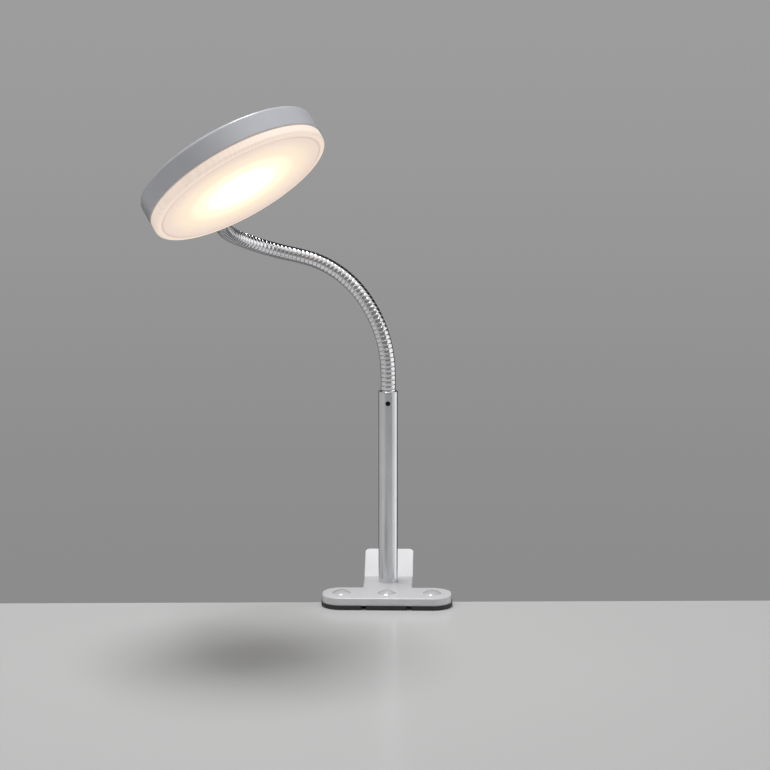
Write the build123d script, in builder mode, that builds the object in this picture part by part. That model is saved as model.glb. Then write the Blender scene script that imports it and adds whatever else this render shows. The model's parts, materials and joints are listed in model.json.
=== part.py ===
from build123d import *
import math
import os

# Clip-on reading lamp: a sprung clamp with a squeeze handle, an upright post, a bendable neck and a round LED head.
# Millimetres. The origin is the middle of the clamp's upper grip face, where it sits on a table top.
# +Z is up, -Y is the user's side and +X is the user's right. The clamp stands open on a 20 mm table top.

# ---- clamp --------------------------------------------------------------------------------------------------
table_thickness = 20.0  # the grip gap at rest
jaw_bar_width = 86.0
jaw_bar_depth = 30.0
jaw_bar_corner = 13.0
jaw_thickness = 5.0
jaw_edge_round = 0.8
stem_width = 33.0
stem_reach = 47.0  # from the middle of the grip to the bend of the squeeze handle
stem_root_round = 3.0
handle_length = 29.0
handle_rise = 30.0  # degrees
handle_corner = 3.0

pad_thickness = 3.0
pad_gap = 3.3
pad_overhang = 0.5
pad_edge_round = 0.6

rivet_head_diameter = 12.5
rivet_head_height = 2.0
rivet_shank_diameter = 5.0
rivet_flange_diameter = 8.0
rivet_flange_height = 1.2

# ---- clamp hinge --------------------------------------------------------------------------------------------
pivot_back = 22.0  # behind the middle of the grip
pin_diameter = 5.0
pin_running_clearance = 0.05
pin_head_diameter = 8.0
pin_head_height = 1.5
pin_tail = 3.0
ear_thickness = 3.2
ear_gap = 0.4
ear_radius = 6.0
clip_thickness = 0.8
clip_diameter = 9.0
clip_groove_depth = 0.6
clip_slot = 3.0

spring_wire = 2.0
spring_pin_clearance = 0.5
spring_turns = 7
spring_pitch = 2.43
spring_leg_lean = 0.15  # the legs' tips stand this far off the jaws
spring_elbow_swell = 0.03  # the wire thickens this much where a leg is bent off the coil

# ---- post ---------------------------------------------------------------------------------------------------
post_back = 32.6  # behind the middle of the grip
post_diameter = 13.0
post_wall = 1.0
post_length = 131.2
post_mouth_round = 0.3

nipple_diameter = 10.0  # M10 thread
nipple_bore = 6.6
nipple_above = 14.0  # above the jaw
nipple_below = 7.0  # below the jaw
nut_width = 14.0
nut_height = 4.0
washer_diameter = 15.6
washer_thickness = 1.0

gland_bore = 4.2
gland_flange_diameter = 9.0
gland_flange_height = 1.2
gland_length = 8.0

adaptor_clearance = 0.05
adaptor_length = 18.0
adaptor_depth = 4.0  # its top lies this far below the post's mouth
grub_screw_depth = 7.8  # below the post's mouth
grub_screw_diameter = 3.0
grub_screw_length = 3.0
grub_screw_hole = 3.4
grub_screw_socket = 1.5

# ---- bendable neck ------------------------------------------------------------------------------------------
neck_diameter = 10.0
neck_bore = 5.2
link_length = 12.0
ball_diameter = 9.2
socket_clearance = 0.1
link_end_gap = 2.2  # from a joint's centre to the wall of the link on each side
neck_straight = 10.8  # out of the post before the first joint
neck_tail = 12.0  # how much longer than the others the last link is, where the hose is clamped on the ferrule
# (links, bend in degrees at each link, direction of that bend in degrees about the neck's own axis)
neck_bends = [(5, 8.4, -21.9), (4, 10.0, 7.0), (5, 14.8, 92.9), (3, 8.9, 126.0)]

ferrule_length = 4.0
ferrule_neck_diameter = 11.0
ferrule_head_diameter = 9.6
ferrule_collar_diameter = 11.5
ferrule_collar_height = 1.8
ferrule_stub_diameter = 7.0
ferrule_bore = 4.0
ferrule_nut_width = 10.0
ferrule_nut_height = 3.5

# ---- lamp head ----------------------------------------------------------------------------------------------
head_roll = 45.5  # degrees, about the neck's axis
head_radius = 59.0
head_height = 13.8
shell_wall = 1.8
shell_back_round = 2.0
shell_front_round = 0.4
entry_boss_inset = 4.1  # from the outside of the shell to the nut's seat
entry_boss_width = 14.0
entry_hole_clearance = 0.1

diffuser_inset = 0.3  # from the shell's outside
diffuser_proud = 6.6
diffuser_groove = 0.6
diffuser_wall = 1.8
diffuser_edge_round = 2.0
diffuser_plug_depth = 2.2

board_radius = 46.0
board_thickness = 1.6
board_standoff = 1.2
board_screw_circle = 40.0
board_screw_count = 4
board_screw_start = 45.0  # degrees from the neck's side of the head
board_boss_diameter = 7.0
board_screw_diameter = 2.8
board_screw_length = 3.6
board_screw_head_diameter = 5.6
board_screw_head_height = 1.8
led_rings = [(8.0, 4), (18.0, 10), (29.0, 16)]  # (circle radius, count)
led_width = 2.8
led_length = 3.5
led_height = 0.7
terminal_length = 9.0
terminal_width = 8.0
terminal_height = 5.0
terminal_inset = 2.0  # its outer face, from the edge of the board

reflector_foot_gap = 1.0  # round the board
reflector_top_gap = 0.2  # inside the diffuser's plug
reflector_wall = 1.2
reflector_notch_width = 16.0

lead_diameter = 3.2
lead_start = 4.0  # above the gland
lead_arc_share = 0.45  # how much of the shorter run beside it each arc of the lead takes

# ---- places worked out from those sizes ---------------------------------------------------------------------
upper_jaw_face = pad_thickness
lower_jaw_face = -table_thickness - pad_thickness
upper_jaw_top = upper_jaw_face + jaw_thickness
pivot_height = -table_thickness / 2
outer_ear_x = stem_width / 2 - ear_thickness
inner_ear_x = outer_ear_x - ear_gap - ear_thickness
pad_width = (jaw_bar_width + 2 * pad_overhang - 2 * pad_gap) / 3
pad_pitch = pad_width + pad_gap
post_radius = post_diameter / 2
post_bore_radius = post_radius - post_wall
post_foot = upper_jaw_top
post_mouth = post_foot + post_length
adaptor_top = post_mouth - adaptor_depth
nipple_bottom = upper_jaw_face - nipple_below
gland_top = nipple_bottom - gland_flange_height + gland_length
ball_radius = ball_diameter / 2
socket_radius = ball_radius + socket_clearance
neck_radius = neck_diameter / 2
neck_bore_radius = neck_bore / 2
board_face = shell_wall + board_standoff + board_thickness
plug_radius = head_radius - shell_wall
plug_bore_radius = plug_radius - diffuser_wall
diffuser_radius = head_radius - diffuser_inset
reflector_foot_radius = board_radius + reflector_foot_gap
reflector_top_radius = plug_bore_radius - reflector_top_gap - reflector_wall
terminal_reach = board_radius - terminal_inset
diffuser_seat = head_height + diffuser_groove
diffuser_front = head_height + diffuser_proud
plug_back = head_height - diffuser_plug_depth
entry_height = head_height / 2
nut_seat_radius = head_radius - entry_boss_inset

os.makedirs("parts", exist_ok=True)


def save(piece, name):
    """Labels a finished piece and writes it as one STEP file."""
    piece.label = name
    export_step(piece, f"parts/{name}.step")


# ---- the neck's route: one frame at each joint, Z along the neck --------------------------------------------
def shift(height):
    return Location((0, 0, height))


def bend(angle, toward):
    """Tips a frame's Z axis by an angle towards a direction about that axis, both in degrees."""
    turn = Location((0, 0, 0), (0, 0, toward))
    tip = Location((0, 0, 0), (0, angle, 0))
    back = Location((0, 0, 0), (0, 0, -toward))
    return turn * tip * back


def neck_frames():
    """(joint frame, link frame, bend direction) for each link, and the frame where the last link ends.

    A link takes half of its bend at each end, and the last one, which runs straight on to the head, takes it all.
    """
    frame = Location((0, post_back, post_mouth + neck_straight), (0, 0, 180))
    links = []
    for count, angle, toward in neck_bends:
        for _ in range(count):
            half = bend(angle / 2, toward)
            link = frame * half
            links.append((frame, link, toward))
            frame = link * shift(link_length) * half
    last_link = link * half
    links[-1] = (links[-1][0], last_link, toward)
    return links, last_link * shift(link_length + neck_tail)


neck_links, neck_end = neck_frames()
head_middle = neck_end * shift(ferrule_length + head_radius) * Location((0, 0, 0), (0, 0, head_roll))
head_back = head_middle * Location((0, 0, 0), (0, 90, 0)) * shift(-entry_height)
head_plane = Plane(head_back)  # Z out through the diffuser, X towards the neck


def side_plane(frame):
    """A plane that holds a frame's Z axis as its own Y, for profiles that are turned round that axis."""
    return Plane(frame * Plane.XZ.location)


def turn_axis(frame):
    return Axis(frame.position, Plane(frame).z_dir)


# ---- clamp jaws ---------------------------------------------------------------------------------------------
def add_jaw_plate(face, side):
    """The T-shaped plate and its squeeze handle. side is 1 above the table top and -1 below it."""
    with BuildSketch(Plane.XY.offset(face)) as outline:
        RectangleRounded(jaw_bar_width, jaw_bar_depth, jaw_bar_corner)
        with Locations((0, stem_reach / 2)):
            Rectangle(stem_width, stem_reach)
        roots = outline.vertices().filter_by(
            lambda v: math.isclose(v.Y, jaw_bar_depth / 2) and math.isclose(abs(v.X), stem_width / 2)
        )
        fillet(roots, radius=stem_root_round)
    extrude(outline.sketch, amount=side * jaw_thickness)
    rise = math.radians(handle_rise)
    along = Vector(math.cos(rise), side * math.sin(rise))
    across = Vector(-math.sin(rise), side * math.cos(rise)) * jaw_thickness
    heel = Vector(stem_reach, face)
    tip = heel + along * handle_length
    mitre = heel + Vector(-math.tan(rise / 2), side) * jaw_thickness
    with BuildSketch(Plane.YZ) as handle:
        with BuildLine():
            Polyline(heel, tip, tip + across, mitre, close=True)
        make_face()
    extrude(handle.sketch, amount=stem_width / 2, both=True)
    corners = edges(Select.ALL).filter_by(
        lambda e: e.center().Y > tip.X - jaw_thickness and abs(e.length - jaw_thickness) < 0.01
    )
    fillet(corners, radius=handle_corner)


def add_ear(inner_x, reach_from):
    """One hinge ear on each side, from the jaw's face to past the pivot."""
    for side in (-1, 1):
        with BuildSketch(Plane.YZ.offset(side * inner_x)) as ear:
            with Locations((pivot_back, pivot_height)):
                Circle(ear_radius)
            with Locations((pivot_back, (pivot_height + reach_from) / 2)):
                Rectangle(2 * ear_radius, abs(reach_from - pivot_height))
        extrude(ear.sketch, amount=side * ear_thickness)


def bore_across(diameter):
    with BuildSketch(Plane.YZ) as bore:
        with Locations((pivot_back, pivot_height)):
            Circle(diameter / 2)
    extrude(bore.sketch, amount=stem_width, both=True, mode=Mode.SUBTRACT)


def bore_for_rivets(face, side):
    with BuildSketch(Plane.XY.offset(face)) as holes:
        with GridLocations(pad_pitch, 0, 3, 1):
            Circle(rivet_shank_diameter / 2)
    extrude(holes.sketch, amount=side * jaw_thickness, mode=Mode.SUBTRACT)


with BuildPart() as upper_jaw:
    add_jaw_plate(upper_jaw_face, 1)
    rim = upper_jaw.faces().filter_by(Axis.Z).filter_by(lambda f: abs(f.center().Z - upper_jaw_top) < 0.01)
    fillet(rim.edges().filter_by(lambda e: e.center().Y < stem_reach - jaw_thickness), radius=jaw_edge_round)
    add_ear(outer_ear_x, upper_jaw_face)
    bore_across(pin_diameter)
    bore_for_rivets(upper_jaw_face, 1)
    with BuildSketch(Plane.XY.offset(upper_jaw_face)):
        with Locations((0, post_back)):
            Circle(nipple_diameter / 2)
    extrude(amount=jaw_thickness, mode=Mode.SUBTRACT)
save(upper_jaw.part, "upper_jaw")

with BuildPart() as lower_jaw:
    add_jaw_plate(lower_jaw_face, -1)
    add_ear(inner_ear_x, lower_jaw_face)
    bore_across(pin_diameter + 2 * pin_running_clearance)
    bore_for_rivets(lower_jaw_face, -1)
save(lower_jaw.part, "lower_jaw")


# ---- rubber pads and the rivets that hold them --------------------------------------------------------------
def pad(column, grip_face, side):
    """One rubber pad: a third of the jaw bar's outline, with a blind pocket for its rivet."""
    with BuildPart() as rubber:
        with BuildSketch(Plane.XY.offset(grip_face)):
            RectangleRounded(
                jaw_bar_width + 2 * pad_overhang, jaw_bar_depth + 2 * pad_overhang, jaw_bar_corner + pad_overhang
            )
            with Locations((column * pad_pitch, 0)):
                Rectangle(pad_width, jaw_bar_depth + 2 * pad_overhang, mode=Mode.INTERSECT)
        extrude(amount=side * pad_thickness)
        grip = rubber.faces().filter_by(Axis.Z).sort_by(Axis.Z)[0 if side > 0 else -1]
        fillet(grip.edges(), radius=pad_edge_round)
        with BuildSketch(Plane.XY.offset(grip_face + side * pad_thickness)):
            with Locations((column * pad_pitch, 0)):
                Circle(rivet_flange_diameter / 2)
        extrude(amount=-side * rivet_flange_height, mode=Mode.SUBTRACT)
    return rubber.part


for level, grip_face, side in (("upper", 0.0, 1), ("lower", -table_thickness, -1)):
    for column, place in ((-1, "left"), (0, "centre"), (1, "right")):
        save(pad(column, grip_face, side), f"{level}_pad_{place}")


def rivets(face, side):
    """Three domed rivets through a jaw, each with a flange that its pad is moulded round."""
    dome_radius = (rivet_head_diameter**2 / 4 + rivet_head_height**2) / (2 * rivet_head_height)
    with BuildPart() as group:
        for column in (-1, 0, 1):
            centre = Vector(column * pad_pitch, 0, 0)
            with BuildSketch(Plane.XZ.offset(-centre.Y)):
                with BuildLine():
                    seat = face + side * jaw_thickness
                    crown = (centre.X, seat + side * rivet_head_height)
                    brim = (centre.X + rivet_head_diameter / 2, seat)
                    RadiusArc(crown, brim, side * dome_radius)
                    Polyline(
                        brim,
                        (centre.X + rivet_shank_diameter / 2, seat),
                        (centre.X + rivet_shank_diameter / 2, face),
                        (centre.X + rivet_flange_diameter / 2, face),
                        (centre.X + rivet_flange_diameter / 2, face - side * rivet_flange_height),
                        (centre.X, face - side * rivet_flange_height),
                        crown,
                    )
                make_face()
            revolve(axis=Axis(centre, (0, 0, 1)))
    return group.part


save(rivets(upper_jaw_face, 1), "upper_rivets")
save(rivets(lower_jaw_face, -1), "lower_rivets")

# ---- clamp hinge --------------------------------------------------------------------------------------------
pin_plane = Plane(origin=(0, pivot_back, pivot_height), x_dir=(0, 1, 0), z_dir=(1, 0, 0))
clip_inner_face = stem_width / 2

with BuildPart() as hinge_pin:
    with BuildSketch(pin_plane.offset(-stem_width / 2 - pin_head_height)):
        Circle(pin_head_diameter / 2)
    extrude(amount=pin_head_height)
    with BuildSketch(pin_plane.offset(-stem_width / 2)):
        Circle(pin_diameter / 2)
    extrude(amount=stem_width + pin_tail)
    with BuildSketch(pin_plane.offset(clip_inner_face)):
        Circle(pin_diameter / 2)
        Circle(pin_diameter / 2 - clip_groove_depth, mode=Mode.SUBTRACT)
    extrude(amount=clip_thickness, mode=Mode.SUBTRACT)
save(hinge_pin.part, "hinge_pin")

with BuildPart() as pin_clip:
    with BuildSketch(pin_plane.offset(clip_inner_face)):
        Circle(clip_diameter / 2)
        Circle(pin_diameter / 2 - clip_groove_depth, mode=Mode.SUBTRACT)
        with Locations((-clip_diameter / 2, 0)):
            Rectangle(clip_diameter, clip_slot, mode=Mode.SUBTRACT)
    extrude(amount=clip_thickness)
save(pin_clip.part, "pin_clip")

coil_radius = pin_diameter / 2 + spring_pin_clearance + spring_wire / 2
coil_length = spring_turns * spring_pitch
upper_leg_height = upper_jaw_face - spring_wire / 2 - spring_leg_lean
lower_leg_height = lower_jaw_face + spring_wire / 2 + spring_leg_lean
leg_reach = stem_reach - pivot_back - spring_wire


def coil_point(x, angle):
    """A point on the spring's coil, at an angle in degrees from straight back, turning upwards."""
    a = math.radians(angle)
    return Vector(x, pivot_back + coil_radius * math.cos(a), pivot_height + coil_radius * math.sin(a))


def spring_leg(x, side, leg_height):
    """A straight leg that leaves the coil at a tangent and ends under or on a jaw's stem."""
    rise = leg_height - pivot_height
    span = math.hypot(leg_reach, rise)
    tangent = math.degrees(math.atan2(rise, leg_reach)) + side * math.degrees(math.acos(coil_radius / span))
    return coil_point(x, tangent), Vector(x, pivot_back + leg_reach, leg_height), tangent


upper_start, upper_tip, upper_angle = spring_leg(-coil_length / 2, 1, upper_leg_height)
lower_start, lower_tip, lower_angle = spring_leg(coil_length / 2, -1, lower_leg_height)
coil_turns = spring_turns + (lower_angle - upper_angle) % 360 / 360
helix_start_angle = 90.0  # a helix along +X begins straight above its axis
coil = Helix(
    pitch=coil_length / coil_turns,
    height=coil_length,
    radius=coil_radius,
    center=(-coil_length / 2, pivot_back, pivot_height),
    direction=(1, 0, 0),
).rotate(Axis((0, pivot_back, pivot_height), (1, 0, 0)), upper_angle - helix_start_angle)

with BuildPart() as torsion_spring:
    with BuildSketch(Plane(origin=coil @ 0, z_dir=coil % 0)):
        Circle(spring_wire / 2)
    sweep(path=coil, is_frenet=True)
    for root, tip in ((upper_start, upper_tip), (lower_start, lower_tip)):
        with BuildSketch(Plane(origin=root, z_dir=tip - root)):
            Circle(spring_wire / 2)
        extrude(amount=(tip - root).length)
        with Locations(root):
            Sphere(spring_wire / 2 + spring_elbow_swell)
save(torsion_spring.part, "torsion_spring")
wire_length = coil.length + (upper_tip - upper_start).length + (lower_tip - lower_start).length
wire_volume = math.pi * spring_wire**2 / 4 * wire_length
print("spring volume against its wire", round(torsion_spring.part.volume / wire_volume, 4))

# ---- post and what fastens it to the jaw --------------------------------------------------------------------


def level(height):
    """The plane across the post's axis at a height."""
    return Plane(origin=(0, post_back, height))


with BuildPart() as post_tube:
    with BuildSketch(level(post_foot)):
        Circle(post_radius)
        Circle(post_bore_radius, mode=Mode.SUBTRACT)
    extrude(amount=post_length)
    mouth = post_tube.faces().sort_by(Axis.Z)[-1]
    fillet(mouth.edges(), radius=post_mouth_round)
    with BuildSketch(Plane.XZ.offset(-post_back)):
        with Locations((0, post_mouth - grub_screw_depth)):
            Circle(grub_screw_hole / 2)
    extrude(amount=post_diameter, mode=Mode.SUBTRACT)
save(post_tube.part, "post_tube")

with BuildPart() as post_bush:
    with BuildSketch(level(post_foot)):
        Circle(post_bore_radius)
        Circle(nipple_diameter / 2, mode=Mode.SUBTRACT)
    extrude(amount=nipple_above)
save(post_bush.part, "post_bush")

with BuildPart() as nipple:
    with BuildSketch(level(nipple_bottom)):
        Circle(nipple_diameter / 2)
        Circle(nipple_bore / 2, mode=Mode.SUBTRACT)
    extrude(amount=nipple_below + jaw_thickness + nipple_above)
save(nipple.part, "nipple")

with BuildPart() as lock_washer:
    with BuildSketch(level(upper_jaw_face)):
        Circle(washer_diameter / 2)
        Circle(nipple_diameter / 2, mode=Mode.SUBTRACT)
    extrude(amount=-washer_thickness)
save(lock_washer.part, "lock_washer")

with BuildPart() as lock_nut:
    with BuildSketch(level(upper_jaw_face - washer_thickness)):
        RegularPolygon(nut_width / 2, 6, major_radius=False, rotation=30)
        Circle(nipple_diameter / 2, mode=Mode.SUBTRACT)
    extrude(amount=-nut_height)
save(lock_nut.part, "lock_nut")

with BuildPart() as cable_gland:
    with BuildSketch(level(nipple_bottom - gland_flange_height)):
        Circle(gland_flange_diameter / 2)
    extrude(amount=gland_flange_height)
    with BuildSketch(level(nipple_bottom)):
        Circle(nipple_bore / 2)
    extrude(amount=gland_length - gland_flange_height)
    with BuildSketch(level(gland_top)):
        Circle(gland_bore / 2)
    extrude(amount=-gland_length, mode=Mode.SUBTRACT)
save(cable_gland.part, "cable_gland")

with BuildPart() as neck_adaptor:
    with BuildSketch(level(adaptor_top)):
        Circle(post_bore_radius - adaptor_clearance)
        Circle(neck_bore_radius, mode=Mode.SUBTRACT)
    extrude(amount=-adaptor_length)
    with BuildSketch(Plane.XZ.offset(-post_back)):
        with Locations((0, post_mouth - grub_screw_depth)):
            Circle(grub_screw_diameter / 2)
    extrude(amount=post_diameter, mode=Mode.SUBTRACT)
save(neck_adaptor.part, "neck_adaptor")

with BuildPart() as neck_grub_screw:
    screw_face = Plane.XZ.offset(post_radius - post_back)
    with BuildSketch(screw_face):
        with Locations((0, post_mouth - grub_screw_depth)):
            Circle(grub_screw_diameter / 2)
    extrude(amount=-grub_screw_length)
    with BuildSketch(screw_face):
        with Locations((0, post_mouth - grub_screw_depth)):
            RegularPolygon(grub_screw_socket / 2, 6, major_radius=False)
    extrude(amount=-grub_screw_length / 2, mode=Mode.SUBTRACT)
save(neck_grub_screw.part, "neck_grub_screw")


# ---- neck links ---------------------------------------------------------------------------------------------
def neck_link(frame, length, has_ball, has_socket):
    """A hollow link: a ball round the joint at its start, and a socket for the next ball at its end."""
    foot_reach = math.sqrt(ball_radius**2 - neck_bore_radius**2)
    ball_shoulder = math.sqrt(ball_radius**2 - link_end_gap**2)
    socket_reach = math.sqrt(socket_radius**2 - neck_bore_radius**2)
    socket_rim = math.sqrt(socket_radius**2 - link_end_gap**2)
    foot = (neck_bore_radius, -foot_reach if has_ball else 0.0)
    top = (neck_bore_radius, length - socket_reach if has_socket else length)
    with BuildPart() as link:
        with BuildSketch(side_plane(frame)):
            with BuildLine():
                if has_ball:
                    ThreePointArc(foot, (ball_radius, 0), (ball_shoulder, link_end_gap))
                    wall_start = (neck_radius, link_end_gap)
                    Line((ball_shoulder, link_end_gap), wall_start)
                else:
                    wall_start = (neck_radius, 0.0)
                    Line(foot, wall_start)
                if has_socket:
                    wall_end = (neck_radius, length - link_end_gap)
                    Line(wall_end, (socket_rim, length - link_end_gap))
                    RadiusArc((socket_rim, length - link_end_gap), top, socket_radius)
                else:
                    wall_end = (neck_radius, length)
                    Line(wall_end, top)
                Line(wall_start, wall_end)
                Line(top, foot)
            make_face()
        revolve(axis=turn_axis(frame))
    return link.part


root_length = adaptor_depth + neck_straight
save(neck_link(Location((0, post_back, adaptor_top), (0, 0, 180)), root_length, False, True), "neck_link_00")
for number, (_, link_frame, _) in enumerate(neck_links, start=1):
    is_last = number == len(neck_links)
    length = link_length + neck_tail if is_last else link_length
    save(neck_link(link_frame, length, True, not is_last), f"neck_link_{number:02d}")

# ---- ferrule that carries the head --------------------------------------------------------------------------
shell_face = ferrule_length  # where the ferrule meets the shell, along the neck from its end
nut_face = ferrule_length + entry_boss_inset

with BuildPart() as neck_ferrule:
    with BuildSketch(side_plane(neck_end)):
        with BuildLine():
            Polyline(
                (ferrule_bore / 2, 0),
                (ferrule_neck_diameter / 2, 0),
                (ferrule_head_diameter / 2, shell_face - ferrule_collar_height),
                (ferrule_collar_diameter / 2, shell_face - ferrule_collar_height),
                (ferrule_collar_diameter / 2, shell_face),
                (ferrule_stub_diameter / 2, shell_face),
                (ferrule_stub_diameter / 2, nut_face + ferrule_nut_height),
                (ferrule_bore / 2, nut_face + ferrule_nut_height),
                close=True,
            )
        make_face()
    revolve(axis=turn_axis(neck_end))
save(neck_ferrule.part, "neck_ferrule")

# ---- lamp head ----------------------------------------------------------------------------------------------
entry_axis_plane = Plane(neck_end)
head_axis = Axis(head_plane.origin, head_plane.z_dir)


def head_level(height):
    """The plane across the head's axis at a height above the outside of its back."""
    return head_plane.offset(height)


with BuildPart() as ferrule_nut:
    with BuildSketch(Plane(neck_end * shift(nut_face) * Location((0, 0, 0), (0, 0, head_roll)))):
        RegularPolygon(ferrule_nut_width / 2, 6, major_radius=False, rotation=30)
        Circle(ferrule_stub_diameter / 2, mode=Mode.SUBTRACT)
    extrude(amount=ferrule_nut_height)
save(ferrule_nut.part, "ferrule_nut")

with BuildPart() as head_shell:
    with BuildSketch(head_plane):
        Circle(head_radius)
    extrude(amount=head_height)
    fillet(head_shell.faces().sort_by(head_axis)[0].edges(), shell_back_round)
    fillet(head_shell.faces().sort_by(head_axis)[-1].edges(), shell_front_round)
    with BuildSketch(head_level(shell_wall)):
        Circle(head_radius - shell_wall)
    extrude(amount=head_height, mode=Mode.SUBTRACT)
    with BuildSketch(head_level(shell_wall)):
        with PolarLocations(board_screw_circle, board_screw_count, board_screw_start):
            Circle(board_boss_diameter / 2)
    extrude(amount=board_standoff)
    with BuildSketch(head_level(shell_wall + board_standoff)):
        with PolarLocations(board_screw_circle, board_screw_count, board_screw_start):
            Circle(board_screw_diameter / 2)
    extrude(amount=board_thickness - board_screw_length, mode=Mode.SUBTRACT)
    with BuildSketch(head_level(shell_wall)):
        with Locations(((nut_seat_radius + head_radius - shell_wall / 2) / 2, 0)):
            Rectangle(head_radius - shell_wall / 2 - nut_seat_radius, entry_boss_width)
    extrude(amount=plug_back - shell_wall)
    with BuildSketch(entry_axis_plane.offset(shell_face - ferrule_collar_height)):
        Circle(ferrule_stub_diameter / 2 + entry_hole_clearance)
    extrude(amount=entry_boss_inset + 2 * ferrule_collar_height, mode=Mode.SUBTRACT)
save(head_shell.part, "head_shell")

with BuildPart() as led_board:
    with BuildSketch(head_level(shell_wall + board_standoff)):
        Circle(board_radius)
        with PolarLocations(board_screw_circle, board_screw_count, board_screw_start):
            Circle(board_screw_diameter / 2, mode=Mode.SUBTRACT)
    extrude(amount=board_thickness)
save(led_board.part, "led_board")

with BuildPart() as leds:
    with BuildSketch(head_level(board_face)):
        for ring_radius, count in led_rings:
            with PolarLocations(ring_radius, count):
                Rectangle(led_width, led_length)
    extrude(amount=led_height)
save(leds.part, "leds")

with BuildPart() as board_screws:
    with BuildSketch(head_level(board_face)):
        with PolarLocations(board_screw_circle, board_screw_count, board_screw_start):
            Circle(board_screw_head_diameter / 2)
    extrude(amount=board_screw_head_height)
    with BuildSketch(head_level(board_face)):
        with PolarLocations(board_screw_circle, board_screw_count, board_screw_start):
            Circle(board_screw_diameter / 2)
    extrude(amount=-board_screw_length)
save(board_screws.part, "board_screws")

with BuildPart() as terminal_block:
    with BuildSketch(head_level(board_face)):
        with Locations((terminal_reach - terminal_length / 2, 0)):
            Rectangle(terminal_length, terminal_width)
    extrude(amount=terminal_height)
save(terminal_block.part, "terminal_block")

head_side = Plane(origin=head_plane.origin, x_dir=head_plane.x_dir, z_dir=-head_plane.y_dir)

with BuildPart() as reflector_ring:
    with BuildSketch(head_side):
        with BuildLine():
            Polyline(
                (reflector_foot_radius, shell_wall),
                (reflector_foot_radius + reflector_wall, shell_wall),
                (reflector_top_radius + reflector_wall, plug_back),
                (reflector_top_radius, plug_back),
                close=True,
            )
        make_face()
    revolve(axis=head_axis)
    with BuildSketch(head_level(shell_wall)):
        with Locations((head_radius / 2, 0)):
            Rectangle(head_radius, reflector_notch_width)
    extrude(amount=head_height, mode=Mode.SUBTRACT)
save(reflector_ring.part, "reflector_ring")

with BuildPart() as diffuser:
    with BuildSketch(head_side):
        with BuildLine():
            Polyline(
                (diffuser_radius - diffuser_edge_round, diffuser_front),
                (0, diffuser_front),
                (0, diffuser_front - diffuser_wall),
                (plug_bore_radius, diffuser_front - diffuser_wall),
                (plug_bore_radius, plug_back),
                (plug_radius, plug_back),
                (plug_radius, diffuser_seat),
                (diffuser_radius, diffuser_seat),
                (diffuser_radius, diffuser_front - diffuser_edge_round),
            )
            RadiusArc(
                (diffuser_radius, diffuser_front - diffuser_edge_round),
                (diffuser_radius - diffuser_edge_round, diffuser_front),
                -diffuser_edge_round,
            )
        make_face()
    revolve(axis=head_axis)
save(diffuser.part, "diffuser")

# ---- lead inside the lamp -----------------------------------------------------------------------------------
lead_points = [Vector(0, post_back, gland_top + lead_start)]
lead_points += [frame.position for frame, _, _ in neck_links]
terminal_face = ferrule_length + head_radius - terminal_reach
lead_points.append((neck_end * shift(terminal_face)).position)
lead_radii = []
for before, corner, after in zip(lead_points, lead_points[1:], lead_points[2:]):
    half_turn = (corner - before).get_angle(after - corner) / 2
    shorter_run = min((corner - before).length, (after - corner).length)
    lead_radii.append(lead_arc_share * shorter_run / math.tan(math.radians(half_turn)))

with BuildPart() as lead_cable:
    with BuildLine() as route:
        FilletPolyline(*lead_points, radius=lead_radii)
    with BuildSketch(Plane(origin=route.line @ 0, z_dir=route.line % 0)):
        Circle(lead_diameter / 2)
    sweep(path=route.line)
save(lead_cable.part, "lead_cable")
lead_length = sum(edge.length for edge in route.line.edges())
print("lead length", round(lead_length, 1), "smallest bend radius", round(min(lead_radii), 1))
section = math.pi * lead_diameter**2 / 4
print("lead volume against section times length", round(lead_cable.part.volume / (section * lead_length), 5))
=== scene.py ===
# %% [markdown]
# # A clip-on reading lamp
# This lamp is a clamp, a post, a bendable metal neck and a round lit head. The solid pieces come from the CAD model and
# are already in place. What is left is what CAD does badly: the wound strip of the neck, the coil of the clamp's
# spring, the finish of every surface, and the light. Every length below is in metres.

# %% Load the fixed frame
import json
import math

import bpy
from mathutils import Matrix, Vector

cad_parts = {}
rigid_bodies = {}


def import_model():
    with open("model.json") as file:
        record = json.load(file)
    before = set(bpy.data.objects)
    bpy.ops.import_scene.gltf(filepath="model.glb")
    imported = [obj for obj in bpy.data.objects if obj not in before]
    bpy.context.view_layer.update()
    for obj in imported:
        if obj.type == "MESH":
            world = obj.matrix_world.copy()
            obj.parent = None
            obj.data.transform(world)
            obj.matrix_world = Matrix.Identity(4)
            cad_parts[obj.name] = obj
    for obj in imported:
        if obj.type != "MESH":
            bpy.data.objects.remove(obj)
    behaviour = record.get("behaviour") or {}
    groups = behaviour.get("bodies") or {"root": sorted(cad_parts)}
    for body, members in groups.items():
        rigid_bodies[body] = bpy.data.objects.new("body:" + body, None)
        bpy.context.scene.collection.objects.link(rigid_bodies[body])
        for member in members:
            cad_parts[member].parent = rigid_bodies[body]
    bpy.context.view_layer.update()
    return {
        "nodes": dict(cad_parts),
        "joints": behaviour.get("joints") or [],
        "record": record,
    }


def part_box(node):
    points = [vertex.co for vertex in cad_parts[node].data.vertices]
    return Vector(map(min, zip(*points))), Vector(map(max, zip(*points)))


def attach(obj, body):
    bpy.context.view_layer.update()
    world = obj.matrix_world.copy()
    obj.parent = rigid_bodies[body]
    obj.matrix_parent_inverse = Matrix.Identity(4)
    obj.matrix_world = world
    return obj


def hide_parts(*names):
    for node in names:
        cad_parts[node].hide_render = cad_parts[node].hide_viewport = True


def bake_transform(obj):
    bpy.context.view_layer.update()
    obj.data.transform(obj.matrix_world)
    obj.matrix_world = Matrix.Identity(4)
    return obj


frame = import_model()
nodes = frame["nodes"]
MM = 0.001

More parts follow.
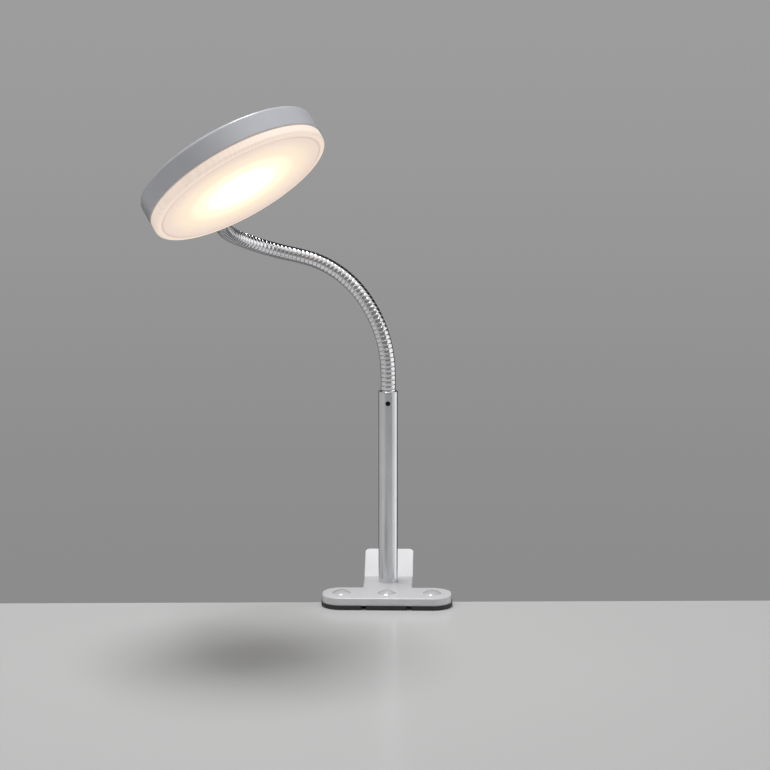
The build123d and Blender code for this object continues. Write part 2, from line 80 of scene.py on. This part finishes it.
# %% [markdown]
# ## Where things are
# No piece of the lamp is placed by eye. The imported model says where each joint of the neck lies, and its nodes' boxes
# and corners give the rest: the mouth of the post, the end of the neck, the middle of the head and the way it faces.

# %% Read places from the frame
neck_joints = [joint for joint in frame["joints"] if joint["name"].startswith("neck_")]
joint_points = [Vector(joint["pos_m"]) for joint in neck_joints]
jaw_joint = next(joint for joint in frame["joints"] if joint["name"] == "jaw_hinge")
BASE, JAW, HEAD = jaw_joint["parent"], jaw_joint["child"], neck_joints[-1]["child"]


def middle(node):
    """The centre of a CAD node's box, which on a disc is the disc's own centre."""
    low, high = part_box(node)
    return (low + high) / 2


def widest_normal(node):
    """The direction that a node's largest flat face looks in."""
    mesh = nodes[node].data
    mesh.calc_loop_triangles()
    largest = max(mesh.loop_triangles, key=lambda t: t.area)
    return Vector(largest.normal).normalized()


def mean_point(node):
    """The average of a node's corners, which lies on the axis of a turned piece."""
    corners = nodes[node].data.vertices
    return sum((v.co for v in corners), Vector()) / len(corners)


link_length = (joint_points[1] - joint_points[0]).length
last_link = f"neck_link_{len(neck_joints):02d}"
neck_end_direction = (mean_point(last_link) - joint_points[-1]).normalized()
tail_reaches = [(v.co - joint_points[-1]).dot(neck_end_direction) for v in nodes["neck_ferrule"].data.vertices]
tail_length = min(tail_reaches)  # the last link is straight, and longer than the others
neck_end = joint_points[-1] + neck_end_direction * tail_length
post_low, post_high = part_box("post_tube")
post_mouth = Vector(((post_low.x + post_high.x) / 2, (post_low.y + post_high.y) / 2, post_high.z))
head_centre = middle("led_board")
head_normal = widest_normal("led_board")
if head_normal.dot(middle("diffuser") - head_centre) < 0:
    head_normal = -head_normal
print("neck joints", len(neck_joints), "head faces", [round(v, 3) for v in head_normal])

# %% [markdown]
# ## Camera, table and light
# The lamp is seen from a little above the table top through a long lens, so that its upright post stays upright. The
# camera and the light come first, because a polished neck shows nothing but what stands around it.
# A pale glossy table top fills the clamp's gap, and one small soft lamp above it gives the head its shadow.

# %% Camera
LENS = 105.8
CAMERA_DISTANCE = 1.5
CAMERA_HEIGHT = 0.382
CAMERA_SIDE = math.radians(1.5)
CAMERA_TILT = math.radians(9.05)
CAMERA_PAN = math.radians(0.081)  # a touch past the post, which stands right of the middle

camera_data = bpy.data.cameras.new("camera")
camera_data.lens = LENS
camera = bpy.data.objects.new("camera", camera_data)
bpy.context.collection.objects.link(camera)
camera.location = (
    post_mouth.x + CAMERA_DISTANCE * math.sin(CAMERA_SIDE),
    post_mouth.y - CAMERA_DISTANCE * math.cos(CAMERA_SIDE),
    CAMERA_HEIGHT,
)
camera.rotation_euler = (math.pi / 2 - CAMERA_TILT, 0, CAMERA_SIDE + CAMERA_PAN)
bpy.context.scene.camera = camera
bpy.context.scene.view_settings.view_transform = "Standard"


# %% Helpers for modelling
def deselect_all():
    """Leaves edit mode and selects nothing."""
    if bpy.context.mode != "OBJECT":
        bpy.ops.object.mode_set(mode="OBJECT")
    bpy.ops.object.select_all(action="DESELECT")


def only(piece):
    """Makes one piece the selected and active one."""
    deselect_all()
    piece.select_set(True)
    bpy.context.view_layer.objects.active = piece


def settle(piece):
    """Puts a piece's place into its mesh, so that its object sits at the origin."""
    only(piece)
    bpy.ops.object.transform_apply(location=True, rotation=True, scale=True)


def smooth(piece, angle):
    """Shades a piece smoothly, but keeps edges sharper than this angle in degrees."""
    only(piece)
    bpy.ops.object.shade_smooth_by_angle(angle=math.radians(angle))


# %% Table top in the clamp's gap
TABLE_WIDTH = 3.0
TABLE_DEPTH = 2.2
TABLE_EDGE_BEHIND_GRIP = 0.0076
TABLE_EDGE_ROUND = 0.0008
TABLE_TURN = math.radians(2.4)  # the clamp doesn't stand quite square to the edge
upper_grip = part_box("upper_pad_centre")[0].z
lower_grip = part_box("lower_pad_centre")[1].z
table_thickness = upper_grip - lower_grip

deselect_all()
bpy.ops.mesh.primitive_cube_add(size=1)
table = bpy.context.object
table.name = "table_top"
table.scale = (TABLE_WIDTH, TABLE_DEPTH, table_thickness)
table.location = (0, TABLE_EDGE_BEHIND_GRIP - TABLE_DEPTH / 2, (upper_grip + lower_grip) / 2)
settle(table)
table.rotation_euler.z = TABLE_TURN
settle(table)
bevel = table.modifiers.new("edge", "BEVEL")
bevel.width, bevel.segments = TABLE_EDGE_ROUND, 3
bpy.ops.object.modifier_apply(modifier=bevel.name)

# %% The lamp above the table
SOFTBOX_PLACE = Vector((-0.16, 0.12, 1.5))
SOFTBOX_AIM = Vector((-0.06, -0.05, 0))
SOFTBOX_SIDE = 0.42
SOFTBOX_WATTS = 15
softbox_data = bpy.data.lights.new("overhead_softbox", "AREA")
softbox_data.shape = "SQUARE"
softbox_data.size = SOFTBOX_SIDE
softbox_data.energy = SOFTBOX_WATTS
softbox = bpy.data.objects.new("overhead_softbox", softbox_data)
bpy.context.collection.objects.link(softbox)
softbox.location = SOFTBOX_PLACE
softbox.rotation_euler = (SOFTBOX_AIM - SOFTBOX_PLACE).to_track_quat("-Z", "Y").to_euler()

# %% [markdown]
# ## The room
# Most of the light comes from a room that is only a world shader. A direction's own components say which wall it looks
# at: smooth steps turn them into a white ceiling, a white wall on the right, a grey one on the left, and a black wall and
# ceiling behind the lamp. The camera itself sees an even grey in their place, darker below the horizon.

# %% Room round the lamp
GREY_ABOVE, GREY_BELOW = 0.335, 0.262
FRONT_WALL, CEILING = 0.2, 0.9
RIGHT_WALL, LEFT_WALL = 1.1, 0.5
LEFT_IN_BLACK = 0.04  # how much light the black wall still gives back
world = bpy.data.worlds.new("studio")
bpy.context.scene.world = world
world.use_nodes = True
wn, wl = world.node_tree.nodes, world.node_tree.links
wn.clear()
direction = wn.new("ShaderNodeTexCoord")
split = wn.new("ShaderNodeSeparateXYZ")
wl.new(direction.outputs["Generated"], split.inputs[0])


def world_step(source, low, high, value_low, value_high):
    """A smooth step between two greys as a direction's component runs from low to high."""
    step = wn.new("ShaderNodeMapRange")
    step.interpolation_type = "SMOOTHSTEP"
    values = {"From Min": low, "From Max": high, "To Min": value_low, "To Max": value_high}
    for socket, value in values.items():
        step.inputs[socket].default_value = value
    wl.new(source, step.inputs["Value"])
    return step.outputs["Result"]


def world_math(operation, *sources):
    """One Math node, fed by these sources in turn."""
    node = wn.new("ShaderNodeMath")
    node.operation = operation
    for socket, source in zip(node.inputs, sources):
        wl.new(source, socket)
    return node.outputs["Value"]


across, along, upward = (split.outputs[axis] for axis in "XYZ")
backdrop = world_step(upward, -0.25, 0.02, GREY_BELOW, GREY_ABOVE)
ceiling = world_step(upward, 0.5, 0.75, FRONT_WALL, CEILING)
right_wall = world_step(across, 0.70, 0.86, 0, RIGHT_WALL)
left_wall = world_step(across, -0.7, -0.3, LEFT_WALL, 0)
walls = world_math("MAXIMUM", world_math("MAXIMUM", ceiling, right_wall), left_wall)
far_behind = world_step(along, 0.60, 0.80, 0, 1)
beside = world_step(world_math("ABSOLUTE", across), 0.18, 0.30, 0, 1)
half_behind = world_step(along, 0.0, 0.2, 0, 1)
above = world_step(upward, 0.22, 0.35, 0, 1)
black_wall = world_math("MULTIPLY", far_behind, beside)
black_ceiling = world_math("MULTIPLY", half_behind, above)
black = world_math("MAXIMUM", black_wall, black_ceiling)
lit_share = world_step(black, 0, 1, 1, LEFT_IN_BLACK)
room = world_math("MULTIPLY", walls, lit_share)
rays = wn.new("ShaderNodeLightPath")
choose = wn.new("ShaderNodeMix")
wl.new(rays.outputs["Is Camera Ray"], choose.inputs["Factor"])
wl.new(room, choose.inputs["A"])
wl.new(backdrop, choose.inputs["B"])
tint = wn.new("ShaderNodeCombineColor")
for channel in ("Red", "Green", "Blue"):
    wl.new(choose.outputs["Result"], tint.inputs[channel])
background = wn.new("ShaderNodeBackground")
world_out = wn.new("ShaderNodeOutputWorld")
wl.new(tint.outputs[0], background.inputs["Color"])
wl.new(background.outputs[0], world_out.inputs["Surface"])

# %% [markdown]
# ## The neck
# The real neck is a strip of polished steel wound into a hose, so its surface is one long helical ridge. It could be a
# row of rings, but then the ridge would not climb. A Screw modifier winds a rounded profile into four turns, and a
# Curve modifier bends those turns along the neck's route. Each run of four turns is centred on one joint and follows
# the smooth route between the two links that meet there, so the neck curves as a hose and not as a chain.

# %% Route of the neck
TURNS_PER_LINK = 4
STRIP_PITCH = link_length / TURNS_PER_LINK
LINKS_BEFORE_FIRST_JOINT = 3  # the route starts this many link lengths before it
TAIL_LINKS = round(tail_length / link_length)  # how many link lengths the straight last link takes
up = (joint_points[0] - post_mouth).normalized()
route_points = [joint_points[0] - up * k * link_length for k in range(LINKS_BEFORE_FIRST_JOINT, 0, -1)]
route_points += joint_points
route_points += [joint_points[-1] + neck_end_direction * k * link_length for k in range(1, TAIL_LINKS + 2)]

route_data = bpy.data.curves.new("neck_route", "CURVE")
route_data.dimensions = "3D"
route_data.resolution_u = 24
spline = route_data.splines.new("BEZIER")
spline.bezier_points.add(len(route_points) - 1)
for knot, point in zip(spline.bezier_points, route_points):
    knot.co = point
    knot.handle_left_type = knot.handle_right_type = "AUTO"
route = bpy.data.objects.new("neck_route", route_data)
bpy.context.collection.objects.link(route)
FIRST_JOINT_AT = LINKS_BEFORE_FIRST_JOINT * link_length  # distance along the route

# %% One wound run of the strip, along +X
STRIP_HALF_WIDTH = 0.475 * STRIP_PITCH
STRIP_HALF_HEIGHT = 0.62 * MM
HOSE_RADIUS = 5.0 * MM
CORE_RADIUS = HOSE_RADIUS - STRIP_HALF_HEIGHT
PROFILE_POINTS = 16
STRIP_SQUARENESS = 6  # 2 is an oval and more is nearer to a rectangle with round shoulders
STEPS_PER_TURN = 40


def close_open_ends(piece):
    """Fills every open border with a face and turns all faces outwards."""
    only(piece)
    bpy.ops.object.mode_set(mode="EDIT")
    bpy.ops.mesh.select_mode(type="EDGE")
    bpy.ops.mesh.select_all(action="DESELECT")
    bpy.ops.mesh.select_non_manifold()
    bpy.ops.mesh.edge_face_add()
    bpy.ops.mesh.select_all(action="SELECT")
    bpy.ops.mesh.normals_make_consistent(inside=False)
    bpy.ops.object.mode_set(mode="OBJECT")


def helix(name, profile_radius, half_width, half_height, pitch, turns, squareness=2):
    """A closed profile wound round the X axis, from x = 0. Squareness takes it from an oval towards a rectangle."""
    deselect_all()
    bpy.ops.mesh.primitive_circle_add(vertices=PROFILE_POINTS, radius=1)
    coil = bpy.context.object
    coil.name = name
    for corner in coil.data.vertices:
        for axis in (0, 1):
            corner.co[axis] = math.copysign(abs(corner.co[axis]) ** (2 / squareness), corner.co[axis])
    coil.scale = (half_width, half_height, 1)
    coil.location = (0, profile_radius, 0)
    settle(coil)
    screw = coil.modifiers.new("wind", "SCREW")
    screw.axis = "X"
    screw.angle = 2 * math.pi * turns
    screw.screw_offset = pitch * turns
    screw.steps = screw.render_steps = round(STEPS_PER_TURN * turns)
    bpy.ops.object.modifier_apply(modifier=screw.name)
    bpy.ops.object.mode_set(mode="EDIT")
    bpy.ops.mesh.select_mode(type="VERT")
    bpy.ops.mesh.select_all(action="SELECT")
    bpy.ops.mesh.remove_doubles(threshold=1e-6)
    bpy.ops.object.mode_set(mode="OBJECT")
    return coil


def tube(name, radius, length, rings, sides=24):
    """A closed rod along +X from x = 0, cut into rings so that it can bend."""
    deselect_all()
    bpy.ops.mesh.primitive_circle_add(vertices=sides, radius=radius, rotation=(0, math.pi / 2, 0))
    rod = bpy.context.object
    rod.name = name
    bpy.ops.object.mode_set(mode="EDIT")
    bpy.ops.mesh.select_all(action="SELECT")
    for _ in range(rings):
        bpy.ops.mesh.extrude_region_move(TRANSFORM_OT_translate={"value": (length / rings, 0, 0)})
    bpy.ops.object.mode_set(mode="OBJECT")
    settle(rod)
    close_open_ends(rod)
    return rod


def bend_along_route(piece, distance):
    """Moves a piece this far along the route and bends it to the route there."""
    piece.location.x = distance
    settle(piece)
    curve = piece.modifiers.new("follow", "CURVE")
    curve.object = route
    curve.deform_axis = "POS_X"
    only(piece)
    bpy.ops.object.modifier_apply(modifier=curve.name)


# %% Wind the hose, run by run
def hose_run(name, distance, turns):
    """One run of wound strip over a core painted dark as the shade in its grooves, starting this far along the route.
    """
    strip = helix(
        name,
        HOSE_RADIUS - STRIP_HALF_HEIGHT,
        STRIP_HALF_WIDTH,
        STRIP_HALF_HEIGHT,
        STRIP_PITCH,
        turns,
        STRIP_SQUARENESS,
    )
    close_open_ends(strip)
    core = tube(name + "_core", CORE_RADIUS, turns * STRIP_PITCH, 2 * turns)
    for part in (strip, core):
        bend_along_route(part, distance)
        smooth(part, 60)
    return strip, core


def lead_run(name, distance, length, rings):
    """A length of the lead inside the hose, starting this far along the route."""
    lead = tube(name, LEAD_RADIUS, length, rings, sides=12)
    bend_along_route(lead, distance)
    smooth(lead, 60)
    return lead


LEAD_RADIUS = 1.6 * MM
half_link = link_length / 2
hose_parts = []
hose_cores = []
lead_parts = []


def keep(strip, core, lead):
    """Puts a run's three parts on the lists that the finishes are given by."""
    hose_parts.append(strip)
    hose_cores.append(core)
    lead_parts.append(lead)


# The mouth of the post holds the first turns, and they go with the base.
mouth_length = (joint_points[0] - post_mouth).length - half_link
turns_in_mouth = math.ceil(mouth_length / STRIP_PITCH)
first_run_at = FIRST_JOINT_AT - half_link - turns_in_mouth * STRIP_PITCH
strip, core = hose_run("neck_hose_00", first_run_at, turns_in_mouth)
lead = lead_run("lead_run_00", first_run_at, turns_in_mouth * STRIP_PITCH, 2)
for part in (strip, core, lead):
    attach(part, BASE)
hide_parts("neck_link_00")
keep(strip, core, lead)

# Each joint takes four turns, from halfway along one link to halfway along the next.
for number, joint in enumerate(neck_joints, start=1):
    run_at = FIRST_JOINT_AT + (number - 1) * link_length - half_link
    strip, core = hose_run(f"neck_hose_{number:02d}", run_at, TURNS_PER_LINK)
    lead = lead_run(f"lead_run_{number:02d}", run_at, link_length, 6)
    for part in (strip, core, lead):
        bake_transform(part)
    if number < len(neck_joints):
        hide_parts(f"neck_link_{number:02d}")
    keep(strip, core, lead)

# The straight tail goes with the head, and its lead runs on to the terminal block.
tail_at = FIRST_JOINT_AT + len(neck_joints) * link_length - half_link
tail_turns = round((tail_length - half_link) / STRIP_PITCH)
strip, core = hose_run("neck_hose_end", tail_at, tail_turns)
terminal_distance = (middle("terminal_block") - neck_end).length
lead = lead_run("lead_run_end", tail_at, tail_length - half_link + terminal_distance, 4)
for part in (strip, core, lead):
    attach(part, HEAD)
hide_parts(last_link)
keep(strip, core, lead)

lead_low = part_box("lead_cable")[0]
deselect_all()
bpy.ops.mesh.primitive_cylinder_add(
    vertices=12,
    radius=LEAD_RADIUS,
    depth=post_mouth.z - lead_low.z,
    location=(post_mouth.x, post_mouth.y, (post_mouth.z + lead_low.z) / 2),
)
lead = bpy.context.object
lead.name = "lead_in_post"
settle(lead)
smooth(lead, 60)
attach(lead, BASE)
lead_parts.append(lead)
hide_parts("lead_cable")
turns = turns_in_mouth + TURNS_PER_LINK * len(neck_joints) + tail_turns
print("hose runs", len(hose_parts), "turns", turns, "tail", round(tail_length, 4))

# %% [markdown]
# ## The clamp's spring
# A torsion spring is one wire: a coil round the hinge pin, and a straight leg under each jaw. The same winding function
# makes the coil, and two rods make the legs, which are joined to it as one piece.

# %% Torsion spring
SPRING_WIRE = 2.0 * MM
SPRING_COIL_RADIUS = 4.0 * MM
SPRING_TURNS = 7
hinge = Vector(jaw_joint["pos_m"])
spring_low, spring_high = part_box("torsion_spring")
coil_half = (spring_high.x - spring_low.x - SPRING_WIRE) / 2
leg_tips = (
    Vector((-coil_half, spring_high.y, spring_high.z - SPRING_WIRE / 2)),
    Vector((coil_half, spring_high.y, spring_low.z + SPRING_WIRE / 2)),
)


def tangent_angle(tip, side):
    """Where on the coil, as an angle about +X from straight back, a straight leg to this tip leaves it."""
    reach, rise = tip.y - hinge.y, tip.z - hinge.z
    return math.atan2(rise, reach) + side * math.acos(SPRING_COIL_RADIUS / math.hypot(reach, rise))


leg_angles = (tangent_angle(leg_tips[0], 1), tangent_angle(leg_tips[1], -1))
coil_turns = SPRING_TURNS + (leg_angles[1] - leg_angles[0]) / (2 * math.pi) % 1
wire_radius = SPRING_WIRE / 2
spring = helix("clamp_spring", SPRING_COIL_RADIUS, wire_radius, wire_radius, 2 * coil_half / coil_turns, coil_turns)
close_open_ends(spring)
spring.rotation_euler.x = leg_angles[0]
spring.location = (-coil_half, hinge.y, hinge.z)
settle(spring)

legs = []
for tip, angle in zip(leg_tips, leg_angles):
    root = Vector((tip.x, hinge.y, hinge.z)) + SPRING_COIL_RADIUS * Vector((0, math.cos(angle), math.sin(angle)))
    leg = tube("spring_leg", SPRING_WIRE / 2, (tip - root).length, 3, sides=PROFILE_POINTS)
    leg.rotation_euler = (tip - root).to_track_quat("X", "Z").to_euler()
    leg.location = root
    settle(leg)
    legs.append(leg)
deselect_all()
for part in (*legs, spring):
    part.select_set(True)
bpy.context.view_layer.objects.active = spring
bpy.ops.object.join()
smooth(spring, 50)
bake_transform(spring)
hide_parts("torsion_spring")
print("spring turns", round(coil_turns, 2), "length", round(2 * coil_half, 4))

# %% [markdown]
# ## Shared surface effects
# No real surface is one even value. Three small node groups give what most of them share: a slow mottling for handling
# and dust, a fine grain for moulded and sprayed skins, and long thin lines for drawn and brushed metal. Each puts out a
# plain value, and each material decides whether it drives colour, roughness or bump.


# %% Node groups
def value_group(name, texture_scale, noise_scale, detail):
    """A group that takes a place and gives one value, which stays between 0 and 1."""
    tree = bpy.data.node_groups.new(name, "ShaderNodeTree")
    tree.interface.new_socket("Vector", in_out="INPUT", socket_type="NodeSocketVector")
    tree.interface.new_socket("Value", in_out="OUTPUT", socket_type="NodeSocketFloat")
    entry, leave = tree.nodes.new("NodeGroupInput"), tree.nodes.new("NodeGroupOutput")
    stretch = tree.nodes.new("ShaderNodeMapping")
    stretch.inputs["Scale"].default_value = texture_scale
    noise = tree.nodes.new("ShaderNodeTexNoise")
    noise.inputs["Scale"].default_value = noise_scale
    noise.inputs["Detail"].default_value = detail
    spread = tree.nodes.new("ShaderNodeMapRange")
    spread.inputs["From Min"].default_value, spread.inputs["From Max"].default_value = 0.3, 0.7
    tree.links.new(entry.outputs["Vector"], stretch.inputs["Vector"])
    tree.links.new(stretch.outputs["Vector"], noise.inputs["Vector"])
    tree.links.new(noise.outputs["Fac"], spread.inputs["Value"])
    tree.links.new(spread.outputs["Result"], leave.inputs["Value"])
    return tree


mottling = value_group("slow_mottling", (1, 1, 1), 45, 4)
grain = value_group("fine_grain", (1, 1, 1), 1400, 2)
upright_lines = value_group("upright_brush_lines", (1, 1, 0.012), 2600, 2)


# %% A material with those effects
def finish(name, colour, roughness, metallic=0.0, coat=0.0, second_colour=None, grain_depth=0.0, lines_depth=0.0):
    """A named finish. colour and second_colour are mixed, and roughness runs between its two values, by the mottling."""
    material = bpy.data.materials.new(name)
    material.use_nodes = True
    tree = material.node_tree
    shader = tree.nodes["Principled BSDF"]
    shader.inputs["Metallic"].default_value = metallic
    shader.inputs["Coat Weight"].default_value = coat
    shader.inputs["Coat Roughness"].default_value = 0.12
    place = tree.nodes.new("ShaderNodeTexCoord")

    def effect(group):
        node = tree.nodes.new("ShaderNodeGroup")
        node.node_tree = group
        tree.links.new(place.outputs["Object"], node.inputs["Vector"])
        return node.outputs["Value"]

    marks = effect(mottling)
    blend = tree.nodes.new("ShaderNodeMix")
    blend.data_type = "RGBA"
    blend.inputs["A"].default_value = (*colour, 1)
    blend.inputs["B"].default_value = (*(second_colour or [0.93 * c for c in colour]), 1)
    tree.links.new(marks, blend.inputs["Factor"])
    tree.links.new(blend.outputs["Result"], shader.inputs["Base Color"])
    rough = tree.nodes.new("ShaderNodeMapRange")
    rough.inputs["To Min"].default_value, rough.inputs["To Max"].default_value = roughness
    tree.links.new(marks, rough.inputs["Value"])
    tree.links.new(rough.outputs["Result"], shader.inputs["Roughness"])

    normal = None
    for group, depth in ((grain, grain_depth), (upright_lines, lines_depth)):
        if depth:
            bump = tree.nodes.new("ShaderNodeBump")
            bump.inputs["Distance"].default_value = depth
            tree.links.new(effect(group), bump.inputs["Height"])
            if normal:
                tree.links.new(normal, bump.inputs["Normal"])
            normal = bump.outputs["Normal"]
    if normal:
        tree.links.new(normal, shader.inputs["Normal"])
    return material


# %% [markdown]
# ## Finishes
# The clamp and the head are sprayed steel and aluminium, the pads are rubber, and the post and the neck are chromed.
# The post's chrome is satin, with the lines that drawing the tube left in it, and the neck's is polished.

# %% Finish of each material slot
MICRON = 1e-6
finishes = {
    "jaw_paint": finish(
        "white_powder_coat", (0.70, 0.70, 0.72), (0.34, 0.44), coat=0.25, grain_depth=12 * MICRON
    ),
    "shell_paint": finish("pale_grey_paint", (0.53, 0.535, 0.57), (0.34, 0.42), coat=0.3, grain_depth=6 * MICRON),
    "pad_rubber": finish("black_rubber", (0.028, 0.028, 0.03), (0.5, 0.7), grain_depth=25 * MICRON),
    "rivet_gloss": finish("gloss_enamel", (0.58, 0.58, 0.60), (0.12, 0.18), coat=0.8),
    "post_chrome": finish("satin_chrome", (0.72, 0.73, 0.75), (0.20, 0.27), metallic=1, lines_depth=1.2 * MICRON),
    "neck_chrome": finish("polished_chrome", (0.82, 0.82, 0.84), (0.10, 0.17), metallic=1),
    "ferrule_chrome": finish("plain_chrome", (0.80, 0.80, 0.82), (0.08, 0.14), metallic=1),
    "bright_steel": finish("zinc_plate", (0.62, 0.63, 0.66), (0.28, 0.42), metallic=1, grain_depth=3 * MICRON),
    "spring_steel": finish("oiled_spring_steel", (0.34, 0.34, 0.36), (0.25, 0.38), metallic=1),
    "brass": finish("turned_brass", (0.78, 0.58, 0.26), (0.22, 0.34), metallic=1),
    "black_oxide": finish("black_oxide", (0.012, 0.012, 0.013), (0.35, 0.5), metallic=0.4),
    "gland_plastic": finish("white_nylon", (0.72, 0.72, 0.70), (0.42, 0.52), grain_depth=10 * MICRON),
    "reflector_plastic": finish("white_reflector", (0.86, 0.86, 0.85), (0.3, 0.4), grain_depth=5 * MICRON),
    "board_aluminium": finish("board_mask", (0.80, 0.80, 0.79), (0.3, 0.42), grain_depth=5 * MICRON),
    "led_package": finish("led_phosphor", (0.85, 0.66, 0.12), (0.3, 0.4)),
    "terminal_plastic": finish("terminal_nylon", (0.75, 0.75, 0.72), (0.4, 0.5), grain_depth=10 * MICRON),
    "lead_sheath": finish("lead_sheath", (0.7, 0.7, 0.68), (0.4, 0.5), grain_depth=10 * MICRON),
}

# %% [markdown]
# ## The lit diffuser
# The diffuser is a frosted plate with a bright patch in its middle, where the lamps behind it are, and a dimmer warm
# edge. The glow has to stay with the plate, so a Mapping node turns object coordinates into the plate's own: its
# centre, its face, and distances as a share of its radius. A colour ramp over the distance from the centre is the glow.
# The plate's inside is pressed into fine ribs, so a wave across it darkens and lightens the glow a little.

# %% Diffuser
diffuser_low, diffuser_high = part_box("diffuser")
diffuser_centre = (diffuser_low + diffuser_high) / 2
corner_reach = max((v.co - diffuser_centre).cross(head_normal).length for v in nodes["diffuser"].data.vertices)

frosted = bpy.data.materials.new("frosted_diffuser")
frosted.use_nodes = True
ft = frosted.node_tree
shader = ft.nodes["Principled BSDF"]
shader.inputs["Base Color"].default_value = (0.50, 0.46, 0.43, 1)
shader.inputs["Roughness"].default_value = 0.32
shader.inputs["Emission Strength"].default_value = 1
place = ft.nodes.new("ShaderNodeTexCoord")
plate = ft.nodes.new("ShaderNodeMapping")
plate.vector_type = "TEXTURE"
plate.inputs["Location"].default_value = diffuser_centre
plate.inputs["Rotation"].default_value = head_normal.to_track_quat("Z", "Y").to_euler()
plate.inputs["Scale"].default_value = (corner_reach, corner_reach, corner_reach)
flatten = ft.nodes.new("ShaderNodeVectorMath")
flatten.operation = "MULTIPLY"
flatten.inputs[1].default_value = (1, 1, 0)
distance = ft.nodes.new("ShaderNodeVectorMath")
distance.operation = "LENGTH"
glow = ft.nodes.new("ShaderNodeValToRGB")
GLOW = (
    (0.00, (1.35, 1.30, 1.10)),
    (0.26, (1.20, 1.12, 0.90)),
    (0.48, (0.92, 0.82, 0.56)),
    (0.66, (0.76, 0.61, 0.44)),
    (0.90, (0.62, 0.48, 0.40)),
    (0.92, (0.44, 0.32, 0.27)),
    (0.94, (0.68, 0.55, 0.43)),
    (1.00, (0.56, 0.45, 0.37)),
)
while len(glow.color_ramp.elements) < len(GLOW):
    glow.color_ramp.elements.new(0.5)
for element, (at, colour) in zip(glow.color_ramp.elements, GLOW):
    element.position = at
    element.color = (*colour, 1)
glow.color_ramp.interpolation = "EASE"
PRISM_SCALE = 9
prisms = ft.nodes.new("ShaderNodeTexWave")
prisms.wave_type = "BANDS"
prisms.bands_direction = "X"
prisms.inputs["Scale"].default_value = PRISM_SCALE
prisms.inputs["Distortion"].default_value = 0
prism_bump = ft.nodes.new("ShaderNodeBump")
prism_bump.inputs["Distance"].default_value = 30 * MICRON
ribbed_glow = ft.nodes.new("ShaderNodeVectorMath")
ribbed_glow.operation = "SCALE"
prism_shade = ft.nodes.new("ShaderNodeMapRange")
prism_shade.inputs["To Min"].default_value, prism_shade.inputs["To Max"].default_value = 0.95, 1.04
fl = ft.links
fl.new(place.outputs["Object"], plate.inputs["Vector"])
fl.new(plate.outputs["Vector"], flatten.inputs[0])
fl.new(flatten.outputs["Vector"], distance.inputs[0])
fl.new(distance.outputs["Value"], glow.inputs["Fac"])
fl.new(plate.outputs["Vector"], prisms.inputs["Vector"])
fl.new(prisms.outputs["Fac"], prism_bump.inputs["Height"])
fl.new(prism_bump.outputs["Normal"], shader.inputs["Normal"])
fl.new(prisms.outputs["Fac"], prism_shade.inputs["Value"])
fl.new(glow.outputs["Color"], ribbed_glow.inputs[0])
fl.new(prism_shade.outputs["Result"], ribbed_glow.inputs["Scale"])
fl.new(ribbed_glow.outputs["Vector"], shader.inputs["Emission Color"])
finishes["diffuser_plastic"] = frosted

# %% [markdown]
# ## Give every piece its finish
# The record names a material slot for each node, so the finishes are handed out by that list and none is missed.


# %% Assign the finishes
def dress(piece, material):
    """Puts one material on the whole of a piece."""
    if piece.data.materials:
        for index in range(len(piece.data.materials)):
            piece.data.materials[index] = material
    else:
        piece.data.materials.append(material)


for subpart in frame["record"]["subparts"]:
    dress(nodes[subpart["node"]], finishes[subpart["material_slot"]])

# The core is painted near black, as the shade that falls in the grooves between the turns of the strip.
groove_painted_shade = finish("groove_painted_shade", (0.10, 0.10, 0.105), (0.35, 0.5), metallic=1)
for part in hose_parts:
    dress(part, finishes["neck_chrome"])
for part in hose_cores:
    dress(part, groove_painted_shade)
for part in lead_parts:
    dress(part, finishes["lead_sheath"])
dress(spring, finishes["spring_steel"])
dress(table, finish("glossy_table_top", (0.62, 0.62, 0.62), (0.20, 0.22), second_colour=(0.615, 0.615, 0.615)))

# %% Last things
bpy.data.objects.remove(route)
